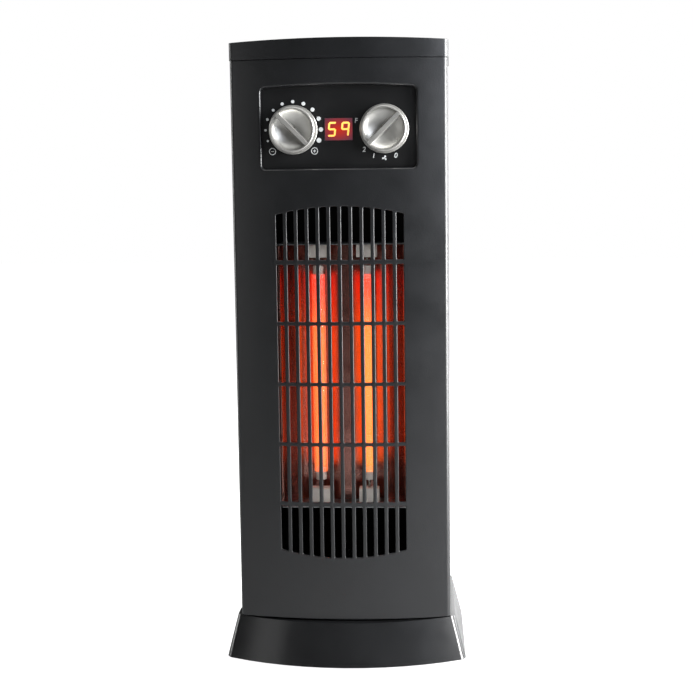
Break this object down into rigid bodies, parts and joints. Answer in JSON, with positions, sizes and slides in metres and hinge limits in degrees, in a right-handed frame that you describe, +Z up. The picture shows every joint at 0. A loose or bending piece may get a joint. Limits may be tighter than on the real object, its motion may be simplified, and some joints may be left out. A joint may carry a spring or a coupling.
{
  "type": "infrared tower heater",
  "caption": "Free-standing infrared tower heater: a bowed panel with a moulded grille over glowing quartz tubes in a reflector, with rotary controls, a digital display and a flared base.",
  "frame": {"origin": "on the surface the heater stands on, under the middle of the whole object's box", "axes": "+Z up; -Y to the front, where the grille and the controls are; +X to the right as seen from the front"},
  "size_m": [0.227, 0.195, 0.5787],
  "materials": {
    "casing_plastic": "black moulded plastic with a fine satin texture",
    "base_plastic": "black moulded plastic, glossy",
    "fascia_plastic": "black moulded plastic, matt",
    "switch_plastic": "black moulded plastic",
    "silver_plastic": "moulded plastic in satin silver lacquer",
    "reflector_sheet": "polished sheet",
    "plated_steel": "nickel-plated",
    "zinc_steel": "zinc-plated",
    "steatite": "unglazed off-white ceramic",
    "quartz_glass": "fused quartz, lit from inside",
    "heating_wire": "wound resistance wire, glowing orange",
    "display_filter": "dark red tinted acrylic, polished",
    "circuit_board": "glass-fibre board with green solder mask",
    "foot_rubber": "black rubber, matt",
    "gland_rubber": "black rubber, smooth",
    "fan_plastic": "dark grey moulded plastic",
    "wire_insulation": "silicone, natural white"
  },
  "bodies": {
    "heater_body": {"base": "base_plastic", "foot_front_left": "foot_rubber", "foot_front_right": "foot_rubber", "foot_rear_left": "foot_rubber", "foot_rear_right": "foot_rubber", "base_screw_front_left": "zinc_steel", "base_screw_front_right": "zinc_steel", "base_screw_rear_left": "zinc_steel", "base_screw_rear_right": "zinc_steel", "front_panel": "casing_plastic", "rear_housing": "casing_plastic", "housing_screw_lower_left": "zinc_steel", "housing_screw_lower_right": "zinc_steel", "housing_screw_upper_left": "zinc_steel", "housing_screw_upper_right": "zinc_steel", "handle_cup": "fascia_plastic", "cord_inlet_gland": "gland_rubber", "top_cap": "casing_plastic", "control_fascia": "fascia_plastic", "thermostat_potentiometer": "plated_steel", "mode_switch": "switch_plastic", "display_lens": "display_filter", "display_module": "switch_plastic", "control_board": "circuit_board", "reflector": "reflector_sheet", "upper_end_plate": "zinc_steel", "lower_end_plate": "zinc_steel", "quartz_tube_left": "quartz_glass", "quartz_tube_right": "quartz_glass", "heating_coil_left": "heating_wire", "heating_coil_right": "heating_wire", "tube_plug_upper_left": "steatite", "tube_plug_upper_right": "steatite", "tube_plug_lower_left": "steatite", "tube_plug_lower_right": "steatite", "tube_pin_upper_left": "plated_steel", "tube_pin_upper_right": "plated_steel", "tube_pin_lower_left": "plated_steel", "tube_pin_lower_right": "plated_steel", "tube_holder_upper_left": "steatite", "tube_holder_upper_right": "steatite", "tube_holder_lower_left": "steatite", "tube_holder_lower_right": "steatite", "thermal_cutout": "zinc_steel", "fan_shroud": "fan_plastic", "motor_bracket": "zinc_steel", "fan_motor": "plated_steel", "terminal_block": "steatite", "tip_over_switch": "switch_plastic", "plunger_spring": "plated_steel", "supply_wire": "wire_insulation", "cutout_wire": "wire_insulation"},
    "thermostat_dial": {"thermostat_knob": "silver_plastic", "thermostat_shaft": "plated_steel"},
    "mode_dial": {"mode_knob": "silver_plastic", "mode_shaft": "plated_steel"},
    "fan_rotor": {"fan_impeller": "fan_plastic", "motor_shaft": "plated_steel"},
    "plunger": {"tip_plunger": "fan_plastic"}
  },
  "joints": [
    {"name": "thermostat_turn", "type": "hinge", "parent": "heater_body", "child": "thermostat_dial", "pos_m": [-0.0414, -0.0706, 0.4976], "axis": [0, 1, 0], "range_deg": [-270, 0]},
    {"name": "mode_turn", "type": "hinge", "parent": "heater_body", "child": "mode_dial", "pos_m": [0.0414, -0.0706, 0.4976], "axis": [0, 1, 0], "range_deg": [-67.5, 0]},
    {"name": "fan_spin", "type": "hinge", "parent": "heater_body", "child": "fan_rotor", "pos_m": [0, 0.055, 0.205], "axis": [0, 1, 0], "continuous": true},
    {"name": "plunger_slide", "type": "slide", "parent": "heater_body", "child": "plunger", "axis": [0, 0, 1], "range_m": [-0.004, 0], "stiffness_N_per_m": 100, "springref_m": -0.008, "deforming": ["plunger_spring"]}
  ]
}
